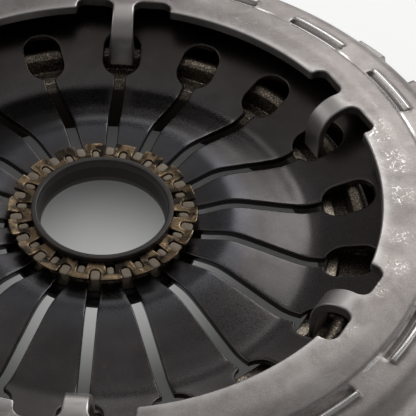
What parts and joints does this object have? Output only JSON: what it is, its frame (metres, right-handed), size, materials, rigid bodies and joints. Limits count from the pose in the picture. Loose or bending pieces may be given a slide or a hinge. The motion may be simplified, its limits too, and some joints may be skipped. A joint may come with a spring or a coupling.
{
  "type": "clutch pressure plate",
  "caption": "Pull-type diaphragm spring clutch cover with cast pressure plate, leaf packs and a release hub that slides along the axis.",
  "frame": {"origin": "clutch axis at the flange face that bolts to the flywheel", "axes": "+Z along the axis away from the flywheel, towards the gearbox; +X and +Y in the flange face"},
  "size_m": [0.45, 0.447, 0.0755],
  "materials": {
    "cover_steel": "satin pressed sheet",
    "spring_steel": "dark, oiled",
    "cast_iron": "rough casting, ridge and face machined",
    "thrust_steel": "turned, satin",
    "seat_black": "blackened",
    "lug_tan": "matte phosphate",
    "star_gold": "tempered, glossy",
    "leaf_steel": "rolled strip",
    "rivet_steel": "satin",
    "spacer_steel": "satin",
    "weight_steel": "satin"
  },
  "bodies": {
    "cover": {"cover": "cover_steel", "cover_rivets": "rivet_steel", "leaf_spacers": "spacer_steel", "balance_weight": "weight_steel", "balance_rivet": "rivet_steel", "diaphragm_spring": "spring_steel", "leaf_a1": "leaf_steel", "leaf_a2": "leaf_steel", "leaf_a3": "leaf_steel", "leaf_b1": "leaf_steel", "leaf_b2": "leaf_steel", "leaf_b3": "leaf_steel", "leaf_c1": "leaf_steel", "leaf_c2": "leaf_steel", "leaf_c3": "leaf_steel"},
    "pressure_plate": {"pressure_plate": "cast_iron", "plate_rivets": "rivet_steel", "leaf_washers": "spacer_steel"},
    "release_hub": {"thrust_ring": "thrust_steel", "seat_ring": "seat_black", "lug_ring": "lug_tan", "star_spring": "star_gold"}
  },
  "joints": [
    {"name": "plate_lift", "type": "slide", "parent": "cover", "child": "pressure_plate", "axis": [0, 0, 1], "range_m": [0, 0.0027], "stiffness_N_per_m": 150000, "springref_m": -0.002, "deforming": ["leaf_a1", "leaf_a2", "leaf_a3", "leaf_b1", "leaf_b2", "leaf_b3", "leaf_c1", "leaf_c2", "leaf_c3"]},
    {"name": "hub_pull", "type": "slide", "parent": "cover", "child": "release_hub", "axis": [0, 0, 1], "range_m": [0, 0.01], "deforming": ["diaphragm_spring"]}
  ],
  "couplings": [
    {"joint": "hub_pull", "follows": "plate_lift", "ratio": 3.7}
  ]
}
